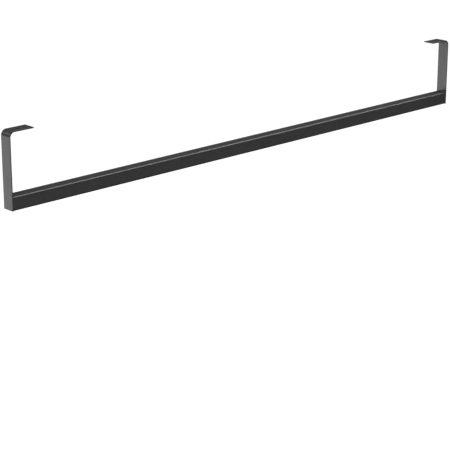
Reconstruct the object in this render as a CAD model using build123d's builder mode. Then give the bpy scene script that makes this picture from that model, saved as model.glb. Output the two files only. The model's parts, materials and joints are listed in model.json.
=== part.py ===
"""Towel bar that screws up under a shelf: a square tube welded between two bent strip arms.

The origin is on the mounting plane, which is the top of both tabs, midway between the two screw holes.
X runs along the bar, the front faces -Y and Z points up, so the bar hangs below the origin.
"""

import os

from build123d import *

# Driving dimensions, in millimetres
overall_length = 900.0  # outer face of one arm to outer face of the other
overall_drop = 110.0  # mounting plane down to the underside of the bar
tube_side = 20.0  # outside of the square tube, and the width of the strips that cap it
tube_wall = 1.5
tube_corner_inner_radius = 1.0
strip_thickness = 1.5
bend_inner_radius = 7.0
tab_length = 40.0  # outer face of the arm to the free end of its tab
screw_hole_diameter = 4.5
screw_hole_inset = 20.0  # outer face of the arm to the axis of the screw hole
edge_ease = 0.3  # rounding of the strips' cut edges

# Sizes that follow from them
strip_width = tube_side
arm_outer_x = overall_length / 2
arm_inner_x = arm_outer_x - strip_thickness
tab_end_x = arm_outer_x - tab_length
screw_hole_x = arm_outer_x - screw_hole_inset
bar_bottom_z = -overall_drop
bar_axis_z = bar_bottom_z + tube_side / 2
tube_length = 2 * arm_inner_x
tube_bore = tube_side - 2 * tube_wall
tube_corner_radius = tube_corner_inner_radius + tube_wall
bend_outer_radius = bend_inner_radius + strip_thickness

os.makedirs("parts", exist_ok=True)

# Crossbar: square tube that runs between the inner faces of the two arms
tube_end = Plane(origin=(-arm_inner_x, 0, bar_axis_z), x_dir=(0, 1, 0), z_dir=(1, 0, 0))
with BuildPart() as crossbar:
    with BuildSketch(tube_end):
        RectangleRounded(tube_side, tube_side, tube_corner_radius)
        RectangleRounded(tube_bore, tube_bore, tube_corner_inner_radius, mode=Mode.SUBTRACT)
    extrude(amount=tube_length)
crossbar.part.label = "crossbar"
export_step(crossbar.part, "parts/crossbar.step")

# Arms: strips that cap the tube, rise from it and turn inwards at the top into a drilled tab
for label, side in (("left_arm", -1), ("right_arm", 1)):
    with BuildPart() as arm:
        with BuildSketch(Plane.XZ):
            with BuildLine():
                outer_skin = FilletPolyline(
                    (side * arm_outer_x, bar_bottom_z),
                    (side * arm_outer_x, 0),
                    (side * tab_end_x, 0),
                    radius=bend_outer_radius,
                )
                inner_skin = FilletPolyline(
                    (side * arm_inner_x, bar_bottom_z),
                    (side * arm_inner_x, -strip_thickness),
                    (side * tab_end_x, -strip_thickness),
                    radius=bend_inner_radius,
                )
                Line(outer_skin @ 0, inner_skin @ 0)
                Line(outer_skin @ 1, inner_skin @ 1)
            make_face()
        extrude(amount=strip_width / 2, both=True)
        sheared_sides = arm.faces().filter_by(Axis.Y)
        foot = arm.faces().filter_by(Axis.Z).sort_by(Axis.Z)[0]
        tab_end = arm.faces().filter_by(Axis.X).sort_by(SortBy.AREA)[0]
        cut_edges = sheared_sides.edges() + foot.edges() + tab_end.edges()
        fillet(cut_edges, radius=edge_ease)
        with Locations((side * screw_hole_x, 0, 0)):
            Hole(radius=screw_hole_diameter / 2)
    arm.part.label = label
    export_step(arm.part, f"parts/{label}.step")
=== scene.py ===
"""Dresses a towel bar: a square tube welded between two bent strips, in matt black powder coat."""

import json
import math

import bpy
from bpy.props import FloatProperty, FloatVectorProperty, IntProperty, PointerProperty
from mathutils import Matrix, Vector


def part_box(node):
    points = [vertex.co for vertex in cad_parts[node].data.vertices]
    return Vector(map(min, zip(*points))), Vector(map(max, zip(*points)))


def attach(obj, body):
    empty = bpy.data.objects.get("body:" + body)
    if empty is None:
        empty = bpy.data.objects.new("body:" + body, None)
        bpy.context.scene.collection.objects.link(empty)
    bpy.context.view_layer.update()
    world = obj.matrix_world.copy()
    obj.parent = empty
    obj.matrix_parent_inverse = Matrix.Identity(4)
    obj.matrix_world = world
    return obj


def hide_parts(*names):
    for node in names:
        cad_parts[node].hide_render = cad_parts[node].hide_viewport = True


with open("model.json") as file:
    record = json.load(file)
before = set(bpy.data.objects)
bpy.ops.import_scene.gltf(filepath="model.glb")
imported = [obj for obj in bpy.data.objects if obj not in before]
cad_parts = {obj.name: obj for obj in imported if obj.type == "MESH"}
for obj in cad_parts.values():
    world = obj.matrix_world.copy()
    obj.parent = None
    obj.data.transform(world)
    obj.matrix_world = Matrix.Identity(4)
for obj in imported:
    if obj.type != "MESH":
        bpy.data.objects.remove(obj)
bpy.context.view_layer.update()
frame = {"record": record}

bl_info = {
    "name": "Towel bar",
    "version": (1, 0, 0),
    "blender": (4, 5, 0),
    "location": "3D View > Sidebar > Towel Bar",
    "description": "Builds the tube and the bent strips, coats them and sets them in a plain studio",
    "category": "Object",
}

BODY = "root"
COAT_NAME = "matt_black_coat"
MILLIMETRE = 0.001

# Places and sizes that the frame gives
TUBE_LOW, TUBE_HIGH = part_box("crossbar")
ARM_LOW, ARM_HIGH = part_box("left_arm")
SCREWS = next(mount for mount in frame["record"]["mounts"] if mount["name"] == "tab_screws")
SCREW_X = SCREWS["dims"]["spacing_x_mm"] * MILLIMETRE / 2
SCREW_RADIUS = SCREWS["dims"]["hole_r_mm"] * MILLIMETRE
BAR_CENTRE = (TUBE_LOW + TUBE_HIGH) / 2
BAR_UNDERSIDE = Vector((BAR_CENTRE.x, BAR_CENTRE.y, TUBE_LOW.z))

# Edges that meet at more than this are kept crisp or eased, and the rest are shaded smooth
SHARP_ANGLE = math.radians(40)
# Points of the strip's path before its bend is rounded: the foot, the corner and the tab's end
PATH_POINTS = 3
# The drill is this many thicknesses of the strip long, so that it passes right through the tab
DRILL_LENGTH = 4
# The screw hole's rims lie within this many of its radii from its axis
RIM_REACH = 1.5

# Soft lamps: where each stands, the point that it faces, and its width and height in metres
SIDE_LAMP = {"place": (-9.0, 2.2, 1.1), "aim": BAR_CENTRE, "size": (3.5, 3.5)}
LOW_LAMP = {"place": (-0.45, 0.97, -0.36), "aim": (0.17, 0.0, -0.05), "size": (1.0, 0.45)}
BEND_LAMP = {"place": (-1.1, 1.1, 0.58), "aim": ARM_LOW, "size": (1.0, 0.08)}
TOP_LAMP = {"place": (1.0, -0.2, 1.4), "aim": (1.0, -0.2, 0.0), "size": (3.6, 0.15)}

# Grey card: how far it lies below the bar's foot, and reaches past its ends and its sides, in metres
CARD_DROP = 0.04
CARD_PAST_ENDS = 0.25
CARD_PAST_SIDES = 0.06

# Folds of the grey screen round the back, the right and the front: x, y, foot and top in metres
SCREEN_FOLDS = [
    (-3.0, 1.2, -0.15, 1.8),
    (2.4, 1.2, -0.15, 1.8),
    (2.6, -0.6, -0.6, 0.6),
    (2.16, -1.39, -0.72, 0.6),
    (0.8, -1.8, -0.78, 0.6),
    (-0.4, -2.2, -0.83, 0.6),
]

# Half of the floor's width in metres, and the width of the camera's sensor in millimetres
FLOOR_HALF = 12.0
SENSOR_WIDTH = 36.0
WHITE = (1.0, 1.0, 1.0, 1.0)


class TubeSizes(bpy.types.PropertyGroup):
    """Sizes of the square tube."""

    length: FloatProperty(
        name="Length",
        description="Tube between the inner faces of the arms",
        default=TUBE_HIGH.x - TUBE_LOW.x,
        unit="LENGTH",
    )
    side: FloatProperty(
        name="Side",
        description="Outside of the square section",
        default=TUBE_HIGH.y - TUBE_LOW.y,
        unit="LENGTH",
    )
    wall: FloatProperty(
        name="Wall",
        description="Thickness of the tube's wall",
        default=1.5 * MILLIMETRE,
        unit="LENGTH",
    )
    bore_corner: FloatProperty(
        name="Bore corner",
        description="Radius of the section's corners, measured inside the wall",
        default=1.0 * MILLIMETRE,
        unit="LENGTH",
    )
    corner_facets: IntProperty(
        name="Corner facets",
        description="Facets around each rounded corner",
        default=12,
        min=2,
    )


class StripSizes(bpy.types.PropertyGroup):
    """Sizes of the bent strips that carry the tube."""

    width: FloatProperty(
        name="Width",
        description="Width of the strip, which is flush with the tube",
        default=ARM_HIGH.y - ARM_LOW.y,
        unit="LENGTH",
    )
    thickness: FloatProperty(
        name="Thickness",
        description="Thickness of the strip",
        default=TUBE_LOW.x - ARM_LOW.x,
        unit="LENGTH",
    )
    drop: FloatProperty(
        name="Drop",
        description="Mounting face down to the foot of the strip",
        default=ARM_HIGH.z - ARM_LOW.z,
        unit="LENGTH",
    )
    tab_reach: FloatProperty(
        name="Tab reach",
        description="Outer face of the arm to the free end of its tab",
        default=ARM_HIGH.x - ARM_LOW.x,
        unit="LENGTH",
    )
    bend_radius: FloatProperty(
        name="Bend radius",
        description="Radius inside the bend between arm and tab",
        default=7.0 * MILLIMETRE,
        unit="LENGTH",
    )
    edge_rounding: FloatProperty(
        name="Edge rounding",
        description="Rounding of the cut edges under the coat",
        default=0.3 * MILLIMETRE,
        unit="LENGTH",
    )
    rim_share: FloatProperty(
        name="Hole rim share",
        description="Rounding of the screw hole's rims, as a share of the edge rounding",
        default=0.4,
        subtype="FACTOR",
    )
    bend_facets: IntProperty(
        name="Bend facets",
        description="Facets around the bend",
        default=40,
        min=4,
    )
    hole_facets: IntProperty(
        name="Hole facets",
        description="Facets around the screw hole",
        default=48,
        min=8,
    )
    edge_facets: IntProperty(
        name="Edge facets",
        description="Facets around each rounded edge",
        default=4,
        min=1,
    )


class CoatLook(bpy.types.PropertyGroup):
    """Colour and surface of the powder coat."""

    colour: FloatVectorProperty(
        name="Colour",
        description="Black of the cured powder",
        default=(0.033, 0.033, 0.033),
        subtype="COLOR",
    )
    roughness: FloatProperty(
        name="Roughness",
        description="Mean roughness of the matt surface",
        default=0.29,
        subtype="FACTOR",
    )
    gloss: FloatProperty(
        name="Gloss",
        description="Specular level of the coat",
        default=0.5,
        subtype="FACTOR",
    )
    grain_width: FloatProperty(
        name="Grain width",
        description="Width of one grain of the fine texture",
        default=0.45 * MILLIMETRE,
        unit="LENGTH",
    )
    grain_depth: FloatProperty(
        name="Grain depth",
        description="Height of the fine texture",
        default=0.03 * MILLIMETRE,
        unit="LENGTH",
    )
    peel_width: FloatProperty(
        name="Peel width",
        description="Width of one wave of the levelled powder",
        default=2.6 * MILLIMETRE,
        unit="LENGTH",
    )
    peel_depth: FloatProperty(
        name="Peel depth",
        description="Height of the waves of the levelled powder",
        default=0.02 * MILLIMETRE,
        unit="LENGTH",
    )
    cloud_width: FloatProperty(
        name="Cloud width",
        description="Width of the faint patches where the coat lies thicker",
        default=45.0 * MILLIMETRE,
        unit="LENGTH",
    )
    tone_spread: FloatProperty(
        name="Tone spread",
        description="How far the grains and patches may stray from the colour, as a share of it",
        default=0.15,
        subtype="FACTOR",
    )
    roughness_spread: FloatProperty(
        name="Roughness spread",
        description="How far the grains and patches may stray from the mean roughness",
        default=0.11,
        subtype="FACTOR",
    )


class StudioLook(bpy.types.PropertyGroup):
    """Light, floor and camera."""

    side_power: FloatProperty(
        name="Side power",
        description="Large soft lamp far on the left, which leaves no glare in the gloss",
        default=640.0,
        unit="POWER",
    )
    low_power: FloatProperty(
        name="Low power",
        description="Soft lamp low behind, which shows in the gloss of the arms",
        default=2.3,
        unit="POWER",
    )
    bend_power: FloatProperty(
        name="Bend power",
        description="Narrow lamp behind on the left, which shows in the gloss of the bends",
        default=1.5,
        unit="POWER",
    )
    top_power: FloatProperty(
        name="Top power",
        description="Long soft lamp overhead, which shows along the rounded corners",
        default=42.0,
        unit="POWER",
    )
    screen_glow: FloatProperty(
        name="Screen glow",
        description="Brightness of the grey screen and card that show in the gloss",
        default=0.08,
        subtype="FACTOR",
    )
    ambient: FloatProperty(
        name="Ambient",
        description="Even light from all round",
        default=0.2,
        subtype="FACTOR",
    )
    floor_colour: FloatProperty(
        name="Floor colour",
        description="Grey of the floor in the lamps' light",
        default=0.35,
        subtype="FACTOR",
    )
    floor_glow: FloatProperty(
        name="Floor glow",
        description="White that the floor adds where it is seen, also in gloss",
        default=0.93,
        subtype="FACTOR",
    )
    floor_drop: FloatProperty(
        name="Floor drop",
        description="Foot of the towel bar down to the floor of the room",
        default=0.75,
        unit="LENGTH",
    )
    camera_yaw: FloatProperty(
        name="Camera yaw",
        description="Turn of the view from straight ahead towards the right",
        default=math.radians(42.89),
        unit="ROTATION",
    )
    camera_pitch: FloatProperty(
        name="Camera pitch",
        description="Downward tilt of the view",
        default=math.radians(17.95),
        unit="ROTATION",
    )
    camera_place: FloatVectorProperty(
        name="Camera place",
        description="Camera, measured from the middle of the tube's underside",
        default=(-1.638, -1.706, 0.646),
        subtype="TRANSLATION",
        unit="LENGTH",
    )
    camera_lens: FloatProperty(
        name="Camera lens",
        description="Focal length on a 36 mm wide sensor",
        default=128.6,
        unit="CAMERA",
    )


class Wire:
    """An output socket that takes part in sums: each operator adds one Math node."""

    def __init__(self, graph, output):
        self.graph = graph
        self.output = output

    def math(self, operation, first, second):
        sockets = {"Value": first, "Value_001": second}
        return self.graph.add("ShaderNodeMath", {"operation": operation}, sockets)

    def __add__(self, other):
        return self.math("ADD", self, other)

    def __radd__(self, other):
        return self.math("ADD", other, self)

    def __sub__(self, other):
        return self.math("SUBTRACT", self, other)

    def __rsub__(self, other):
        return self.math("SUBTRACT", other, self)

    def __mul__(self, other):
        return self.math("MULTIPLY", self, other)

    def __rmul__(self, other):
        return self.math("MULTIPLY", other, self)

    def __truediv__(self, other):
        return self.math("DIVIDE", self, other)

    def __rtruediv__(self, other):
        return self.math("DIVIDE", other, self)

    def __gt__(self, other):
        return self.math("GREATER_THAN", self, other)

    def at_most(self, other):
        return self.math("MINIMUM", self, other)

    def at_least(self, other):
        return self.math("MAXIMUM", self, other)

    def named(self, name):
        """Another output of the node that this one comes from."""
        return Wire(self.graph, Graph.socket(self.output.node.outputs, name))


class Graph:
    """A node tree under construction, for a shader or for geometry."""

    def __init__(self, tree):
        self.tree = tree

    @staticmethod
    def socket(sockets, key):
        """The socket with that identifier, or else the first one in use with that name."""
        by_identifier = [socket for socket in sockets if socket.identifier == key]
        by_name = [socket for socket in sockets if socket.name == key and socket.enabled]
        return (by_identifier + by_name)[0]

    def add(self, kind, settings=None, sockets=None):
        """Adds a node, with its settings first and then its sockets, and gives its first output in use."""
        node = self.tree.nodes.new(kind)
        for name, value in (settings or {}).items():
            setattr(node, name, value)
        for key, value in (sockets or {}).items():
            target = self.socket(node.inputs, key)
            if isinstance(value, Wire):
                self.tree.links.new(value.output, target)
            else:
                target.default_value = value
        outputs = [socket for socket in node.outputs if socket.enabled]
        return Wire(self, outputs[0]) if outputs else node


class ShapeTree(Graph):
    """A geometry tree with named inputs, which makes one piece."""

    def __init__(self, name, inputs):
        super().__init__(bpy.data.node_groups.new(name, "GeometryNodeTree"))
        self.identifiers = {}
        for label, kind in inputs.items():
            made = self.tree.interface.new_socket(label, in_out="INPUT", socket_type=kind)
            self.identifiers[label] = made.identifier
        self.tree.interface.new_socket("Piece", in_out="OUTPUT", socket_type="NodeSocketGeometry")
        self.group = self.add("NodeGroupInput")

    def given(self, label):
        """The tree's input with that label."""
        return self.group.named(self.identifiers[label])

    def point(self, x=0.0, z=0.0):
        """A point in the upright plane through the middle of the bar."""
        return self.add("ShaderNodeCombineXYZ", None, {"X": x, "Z": z})

    def rectangle(self, width, height):
        """A section to sweep along a path."""
        sockets = {"Width": width, "Height": height}
        return self.add("GeometryNodeCurvePrimitiveQuadrilateral", None, sockets)

    def rounded(self, curve, radius, facets):
        """The curve with each of its corners made an arc."""
        sockets = {"Curve": curve, "Radius": radius, "Count": facets}
        return self.add("GeometryNodeFilletCurve", {"mode": "POLY"}, sockets)

    def swept(self, path, profile):
        """A closed solid along a path whose sections keep their first side along Y."""
        sockets = {"Curve": path, "Normal": (0.0, 1.0, 0.0)}
        steady = self.add("GeometryNodeSetCurveNormal", {"mode": "FREE"}, sockets)
        sockets = {"Curve": steady, "Profile Curve": profile, "Fill Caps": True}
        return self.add("GeometryNodeCurveToMesh", None, sockets)

    def cut(self, solid, cutter):
        """The solid less what the cutter takes away."""
        settings = {"operation": "DIFFERENCE", "solver": "FLOAT"}
        return self.add("GeometryNodeMeshBoolean", settings, {"Mesh 1": solid, "Mesh 2": cutter})

    def sharp(self):
        """1 on the edges where two faces meet at a clear angle."""
        return self.add("GeometryNodeInputMeshEdgeAngle") > SHARP_ANGLE

    def beyond(self, axis, radius):
        """1 on what lies further than that radius from an upright axis."""
        sockets = {"Vector": self.add("GeometryNodeInputPosition"), "Vector_001": axis}
        offset = self.add("ShaderNodeVectorMath", {"operation": "SUBTRACT"}, sockets)
        sockets = {"Vector": offset, "Vector_001": (1.0, 1.0, 0.0)}
        level = self.add("ShaderNodeVectorMath", {"operation": "MULTIPLY"}, sockets)
        return self.add("ShaderNodeVectorMath", {"operation": "LENGTH"}, {"Vector": level}) > radius

    def end(self, geometry):
        """Shades the piece smooth, coats it and makes it the tree's result."""
        smooth = self.add("GeometryNodeSetShadeSmooth", {"domain": "FACE"}, {"Geometry": geometry})
        whole = self.add("GeometryNodeRealizeInstances", None, {"Geometry": smooth})
        sockets = {"Geometry": whole, "Material": self.given("Coat")}
        coated = self.add("GeometryNodeSetMaterial", None, sockets)
        self.add("NodeGroupOutput", None, {"Piece": coated})


def tube_tree():
    """A square tube with rounded corners along X: a swept section less its bore."""
    shape = ShapeTree(
        "Square tube",
        {
            "Length": "NodeSocketFloat",
            "Side": "NodeSocketFloat",
            "Wall": "NodeSocketFloat",
            "Bore Corner": "NodeSocketFloat",
            "Corner Facets": "NodeSocketInt",
            "Axis Height": "NodeSocketFloat",
            "Coat": "NodeSocketMaterial",
        },
    )
    side, wall, facets = shape.given("Side"), shape.given("Wall"), shape.given("Corner Facets")
    bore_corner, height = shape.given("Bore Corner"), shape.given("Axis Height")

    def bar(width, corner, half):
        ends = {"Start": shape.point(x=0.0 - half, z=height), "End": shape.point(x=half, z=height)}
        path = shape.add("GeometryNodeCurvePrimitiveLine", None, ends)
        return shape.swept(path, shape.rounded(shape.rectangle(width, width), corner, facets))

    half = shape.given("Length") / 2
    outside = bar(side, bore_corner + wall, half)
    bore = bar(side - 2 * wall, bore_corner, half + wall)
    tube = shape.cut(outside, bore)
    sockets = {"Geometry": tube, "Selection": shape.sharp(), "Shade Smooth": False}
    shape.end(shape.add("GeometryNodeSetShadeSmooth", {"domain": "EDGE"}, sockets))
    return shape


def bent_path(shape):
    """The middle line of the strip: up from the foot, round the bend and in along the tab."""
    half = shape.given("Thickness") / 2
    arm_x = shape.given("Outer Face") - half
    tab_x = shape.given("Outer Face") - shape.given("Tab Reach")
    foot_z = 0.0 - shape.given("Drop")

    # From point to point the path first rises and then turns inwards
    index = shape.add("GeometryNodeInputIndex")
    risen = index.at_most(1)
    turned = index - risen
    place = shape.point(
        x=shape.given("Side") * (arm_x + turned * (tab_x - arm_x)),
        z=foot_z + risen * (0.0 - half - foot_z),
    )
    sockets = {"Curve": shape.add("GeometryNodeCurvePrimitiveLine"), "Count": PATH_POINTS}
    points = shape.add("GeometryNodeResampleCurve", {"mode": "COUNT"}, sockets)
    corner = shape.add("GeometryNodeSetPosition", None, {"Geometry": points, "Position": place})
    return shape.rounded(corner, shape.given("Bend Radius") + half, shape.given("Bend Facets"))


def screw_drill(shape, hole):
    """A cylinder on the screw hole's axis."""
    sockets = {
        "Vertices": shape.given("Hole Facets"),
        "Radius": shape.given("Hole Radius"),
        "Depth": DRILL_LENGTH * shape.given("Thickness"),
    }
    cylinder = shape.add("GeometryNodeMeshCylinder", None, sockets)
    return shape.add("GeometryNodeTransform", None, {"Geometry": cylinder, "Translation": hole})


def marked_edges(shape, solid, hole):
    """The solid with its cut edges marked for rounding, and the screw hole's rims for less of it."""
    rim_share = shape.given("Rim Share")
    off_rim = shape.beyond(hole, RIM_REACH * shape.given("Hole Radius"))
    weight = shape.sharp() * (rim_share + off_rim * (1 - rim_share))
    settings = {"data_type": "FLOAT", "domain": "EDGE"}
    sockets = {"Geometry": solid, "Name": "bevel_weight_edge", "Value": weight}
    return shape.add("GeometryNodeStoreNamedAttribute", settings, sockets)


def strip_tree():
    """A flat strip that rises, bends inwards and ends in a drilled tab, with its cut edges marked."""
    shape = ShapeTree(
        "Bent strip",
        {
            "Side": "NodeSocketFloat",
            "Outer Face": "NodeSocketFloat",
            "Width": "NodeSocketFloat",
            "Thickness": "NodeSocketFloat",
            "Drop": "NodeSocketFloat",
            "Tab Reach": "NodeSocketFloat",
            "Bend Radius": "NodeSocketFloat",
            "Bend Facets": "NodeSocketInt",
            "Hole Place": "NodeSocketFloat",
            "Hole Radius": "NodeSocketFloat",
            "Hole Facets": "NodeSocketInt",
            "Rim Share": "NodeSocketFloat",
            "Coat": "NodeSocketMaterial",
        },
    )
    section = shape.rectangle(shape.given("Width"), shape.given("Thickness"))
    strip = shape.swept(bent_path(shape), section)
    hole = shape.point(x=shape.given("Side") * shape.given("Hole Place"))
    drilled = shape.cut(strip, screw_drill(shape, hole))
    shape.end(marked_edges(shape, drilled, hole))
    return shape


def new_piece(name, shape, values):
    """An object that a geometry tree fills, with the tree's inputs set by their identifiers."""
    piece = bpy.data.objects.new(name, bpy.data.meshes.new(name))
    bpy.context.scene.collection.objects.link(piece)
    modifier = piece.modifiers.new(shape.tree.name, "NODES")
    modifier.node_group = shape.tree
    for label, value in values.items():
        modifier[shape.identifiers[label]] = value
    return piece


def ease_edges(piece, radius, facets):
    """Rounds the edges that the piece's tree has marked."""
    rounding = piece.modifiers.new("Eased edges", "BEVEL")
    rounding.limit_method = "WEIGHT"
    rounding.width = radius
    rounding.segments = facets
    rounding.loop_slide = False


def settle(piece):
    """Turns the piece's modifiers into its own plain mesh, with the shading of flat faces kept flat."""
    level = piece.modifiers.new("Even shading", "WEIGHTED_NORMAL")
    level.keep_sharp = True
    depsgraph = bpy.context.evaluated_depsgraph_get()
    mesh = bpy.data.meshes.new_from_object(piece.evaluated_get(depsgraph), depsgraph=depsgraph)
    if not mesh.polygons:
        raise RuntimeError(f"{piece.name} came out empty")
    piece.modifiers.clear()
    empty, piece.data = piece.data, mesh
    mesh.name = piece.name
    bpy.data.meshes.remove(empty)


def seat(piece, node):
    """Puts the piece in the place of its solid."""
    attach(piece, BODY)
    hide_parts(node)


def emptied(owner):
    """The node tree of a new material or world, with nothing in it yet."""
    owner.use_nodes = True
    owner.node_tree.nodes.clear()
    return Graph(owner.node_tree)


def powder_coat(look):
    """Matt black powder coat: fine grain on low waves, with faint patches of thicker and smoother coat."""
    known = bpy.data.materials.get(COAT_NAME)
    if known:
        return known
    material = bpy.data.materials.new(COAT_NAME)
    coat = emptied(material)
    place = coat.add("ShaderNodeTexCoord").named("Object")

    def noise(width, detail):
        sockets = {"Vector": place, "Scale": 1 / width, "Detail": detail}
        return coat.add("ShaderNodeTexNoise", None, sockets)

    def shade(share):
        return (*(share * channel for channel in look.colour), 1.0)

    grain = noise(look.grain_width, detail=2.0)
    peel = noise(look.peel_width, detail=1.0)
    cloud = noise(look.cloud_width, detail=3.0)
    height = grain * look.grain_depth + peel * look.peel_depth
    relief = coat.add("ShaderNodeBump", None, {"Strength": 1.0, "Distance": 1.0, "Height": height})
    mottle = (grain + cloud) / 2
    roughness = look.roughness + (2 * mottle - 1) * look.roughness_spread
    dark, pale = shade(1 - look.tone_spread), shade(1 + look.tone_spread)
    settings = {"data_type": "RGBA", "blend_type": "MIX"}
    sockets = {"Factor_Float": mottle, "A_Color": dark, "B_Color": pale}
    colour = coat.add("ShaderNodeMix", settings, sockets)
    sockets = {
        "Base Color": colour,
        "Roughness": roughness,
        "Specular IOR Level": look.gloss,
        "Normal": relief,
    }
    surface = coat.add("ShaderNodeBsdfPrincipled", None, sockets)
    coat.add("ShaderNodeOutputMaterial", None, {"Surface": surface})
    return material


class TOWELBAR_OT_crossbar(bpy.types.Operator):
    """Build the square tube in place of its solid"""

    bl_idname = "towel_bar.crossbar"
    bl_label = "Build crossbar"

    def execute(self, context):
        sizes = context.scene.towel_bar_tube
        values = {
            "Length": sizes.length,
            "Side": sizes.side,
            "Wall": sizes.wall,
            "Bore Corner": sizes.bore_corner,
            "Corner Facets": sizes.corner_facets,
            "Axis Height": BAR_CENTRE.z,
            "Coat": powder_coat(context.scene.towel_bar_coat),
        }
        piece = new_piece("crossbar_tube", tube_tree(), values)
        settle(piece)
        seat(piece, "crossbar")
        return {"FINISHED"}


class TOWELBAR_OT_arms(bpy.types.Operator):
    """Build the bent strips in place of their solids"""

    bl_idname = "towel_bar.arms"
    bl_label = "Build arms"

    def execute(self, context):
        sizes = context.scene.towel_bar_strip
        shape = strip_tree()
        for node, side in (("left_arm", -1.0), ("right_arm", 1.0)):
            values = {
                "Side": side,
                "Outer Face": -ARM_LOW.x,
                "Width": sizes.width,
                "Thickness": sizes.thickness,
                "Drop": sizes.drop,
                "Tab Reach": sizes.tab_reach,
                "Bend Radius": sizes.bend_radius,
                "Bend Facets": sizes.bend_facets,
                "Hole Place": SCREW_X,
                "Hole Radius": SCREW_RADIUS,
                "Hole Facets": sizes.hole_facets,
                "Rim Share": sizes.rim_share,
                "Coat": powder_coat(context.scene.towel_bar_coat),
            }
            piece = new_piece(f"{node}_strip", shape, values)
            ease_edges(piece, sizes.edge_rounding, sizes.edge_facets)
            settle(piece)
            seat(piece, node)
        return {"FINISHED"}


def softbox(name, place, aim, size, power):
    """A rectangular soft lamp that faces a point."""
    lamp = bpy.data.lights.new(name, "AREA")
    lamp.shape = "RECTANGLE"
    lamp.size, lamp.size_y = size
    lamp.energy = power
    holder = bpy.data.objects.new(name, lamp)
    holder.location = place
    holder.rotation_euler = (Vector(aim) - Vector(place)).to_track_quat("-Z", "Y").to_euler()
    holder.visible_camera = False
    bpy.context.scene.collection.objects.link(holder)
    return holder


def seen_directly(graph):
    """1 for the rays that meet a plain white background: from the camera, in gloss and through glass."""
    path = graph.add("ShaderNodeLightPath")
    glossy, through = path.named("Is Glossy Ray"), path.named("Is Transmission Ray")
    return path.at_least(glossy).at_least(through)


def white_world(ambient):
    """White behind everything, and an even grey light all round."""
    world = bpy.data.worlds.new("studio_air")
    air = emptied(world)
    strength = ambient + seen_directly(air) * (1 - ambient)
    background = air.add("ShaderNodeBackground", None, {"Color": WHITE, "Strength": strength})
    air.add("ShaderNodeOutputWorld", None, {"Surface": background})
    bpy.context.scene.world = world


def stage_sheet(name, points, quads):
    """A sheet of the stage, and the empty node tree of its material."""
    mesh = bpy.data.meshes.new(name)
    mesh.from_pydata(points, [], quads)
    sheet = bpy.data.objects.new(name, mesh)
    bpy.context.scene.collection.objects.link(sheet)
    material = bpy.data.materials.new(name)
    mesh.materials.append(material)
    return sheet, emptied(material)


def level_sheet(half_x, half_y, height):
    """Corners and face of a level rectangle about the Z axis."""
    corners = [(-half_x, -half_y), (half_x, -half_y), (half_x, half_y), (-half_x, half_y)]
    return [(x, y, height) for x, y in corners], [(0, 1, 2, 3)]


def pale_floor(height, grey, glow):
    """A wide pale floor that keeps shadows and is white where it is lit."""
    _, paint = stage_sheet("pale_floor", *level_sheet(FLOOR_HALF, FLOOR_HALF, height))
    lit = paint.add("ShaderNodeBsdfDiffuse", None, {"Color": (grey, grey, grey, 1.0)})
    sockets = {"Color": WHITE, "Strength": seen_directly(paint) * glow}
    bright = paint.add("ShaderNodeEmission", None, sockets)
    surface = paint.add("ShaderNodeAddShader", None, {"Shader": lit, "Shader_001": bright})
    paint.add("ShaderNodeOutputMaterial", None, {"Surface": surface})


def gloss_sheet(name, points, quads, glow):
    """A grey sheet that the gloss alone sees, so that the dark coat doesn't mirror white all round."""
    sheet, paper = stage_sheet(name, points, quads)
    sheet.visible_camera = False
    sheet.visible_diffuse = False
    sheet.visible_shadow = False
    surface = paper.add("ShaderNodeEmission", None, {"Color": WHITE, "Strength": glow})
    paper.add("ShaderNodeOutputMaterial", None, {"Surface": surface})


def grey_card(glow):
    """A card close under the bar, which keeps the white floor out of its lower corners."""
    half_x = CARD_PAST_ENDS - ARM_LOW.x
    half_y = CARD_PAST_SIDES - ARM_LOW.y
    gloss_sheet("grey_card", *level_sheet(half_x, half_y, ARM_LOW.z - CARD_DROP), glow)


def grey_screen(folds, glow):
    """A folding screen round the back, the right and the front, which the faces mirror."""
    feet = [(x, y, foot) for x, y, foot, _ in folds]
    tops = [(x, y, top) for x, y, _, top in folds]
    count = len(folds)
    quads = [(step, step + 1, step + 1 + count, step + count) for step in range(count - 1)]
    gloss_sheet("grey_screen", feet + tops, quads, glow)


def tilted_camera(place, pitch, yaw, focal_length):
    """The scene's camera, which looks down by the pitch and to the right by the yaw."""
    lens = bpy.data.cameras.new("camera")
    lens.sensor_width = SENSOR_WIDTH
    lens.lens = focal_length
    camera = bpy.data.objects.new("camera", lens)
    camera.location = place
    camera.rotation_euler = (math.pi / 2 - pitch, 0.0, -yaw)
    bpy.context.scene.collection.objects.link(camera)
    bpy.context.scene.camera = camera


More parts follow.
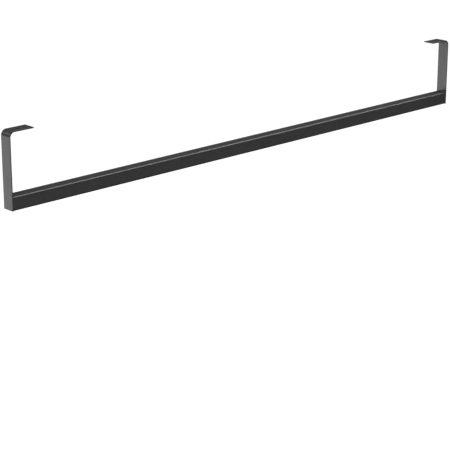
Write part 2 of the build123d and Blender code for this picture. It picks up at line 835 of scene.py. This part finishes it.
class TOWELBAR_OT_stage(bpy.types.Operator):
    """Set up the floor, the light and the camera"""

    bl_idname = "towel_bar.stage"
    bl_label = "Set the stage"

    def execute(self, context):
        studio = context.scene.towel_bar_studio
        white_world(studio.ambient)
        pale_floor(ARM_LOW.z - studio.floor_drop, studio.floor_colour, studio.floor_glow)
        grey_screen(SCREEN_FOLDS, studio.screen_glow)
        grey_card(studio.screen_glow)
        side = softbox("side_softbox", power=studio.side_power, **SIDE_LAMP)
        side.visible_glossy = False
        softbox("low_softbox", power=studio.low_power, **LOW_LAMP)
        softbox("bend_softbox", power=studio.bend_power, **BEND_LAMP)
        softbox("top_softbox", power=studio.top_power, **TOP_LAMP)
        place = BAR_UNDERSIDE + Vector(studio.camera_place)
        tilted_camera(place, studio.camera_pitch, studio.camera_yaw, studio.camera_lens)
        context.scene.view_settings.view_transform = "Standard"
        return {"FINISHED"}


class TOWELBAR_PT_panel(bpy.types.Panel):
    """Lists the towel bar's pieces and sizes"""

    bl_idname = "TOWELBAR_PT_panel"
    bl_label = "Towel bar"
    bl_space_type = "VIEW_3D"
    bl_region_type = "UI"
    bl_category = "Towel Bar"

    def draw(self, context):
        for operator in OPERATORS:
            self.layout.operator(operator.bl_idname)
        for name in SETTINGS:
            group = getattr(context.scene, name)
            for key in group.bl_rna.properties.keys():
                if key not in ("rna_type", "name"):
                    self.layout.prop(group, key)


SETTINGS = {
    "towel_bar_tube": TubeSizes,
    "towel_bar_strip": StripSizes,
    "towel_bar_coat": CoatLook,
    "towel_bar_studio": StudioLook,
}
OPERATORS = (TOWELBAR_OT_crossbar, TOWELBAR_OT_arms, TOWELBAR_OT_stage)
CLASSES = (*SETTINGS.values(), *OPERATORS, TOWELBAR_PT_panel)


def register():
    for kind in CLASSES:
        bpy.utils.register_class(kind)
    for name, kind in SETTINGS.items():
        setattr(bpy.types.Scene, name, PointerProperty(type=kind))


def unregister():
    for name in SETTINGS:
        delattr(bpy.types.Scene, name)
    for kind in reversed(CLASSES):
        bpy.utils.unregister_class(kind)


def main():
    """Builds the pieces and the stage."""
    register()
    bpy.ops.towel_bar.crossbar()
    bpy.ops.towel_bar.arms()
    bpy.ops.towel_bar.stage()


if __name__ == "__main__":
    main()
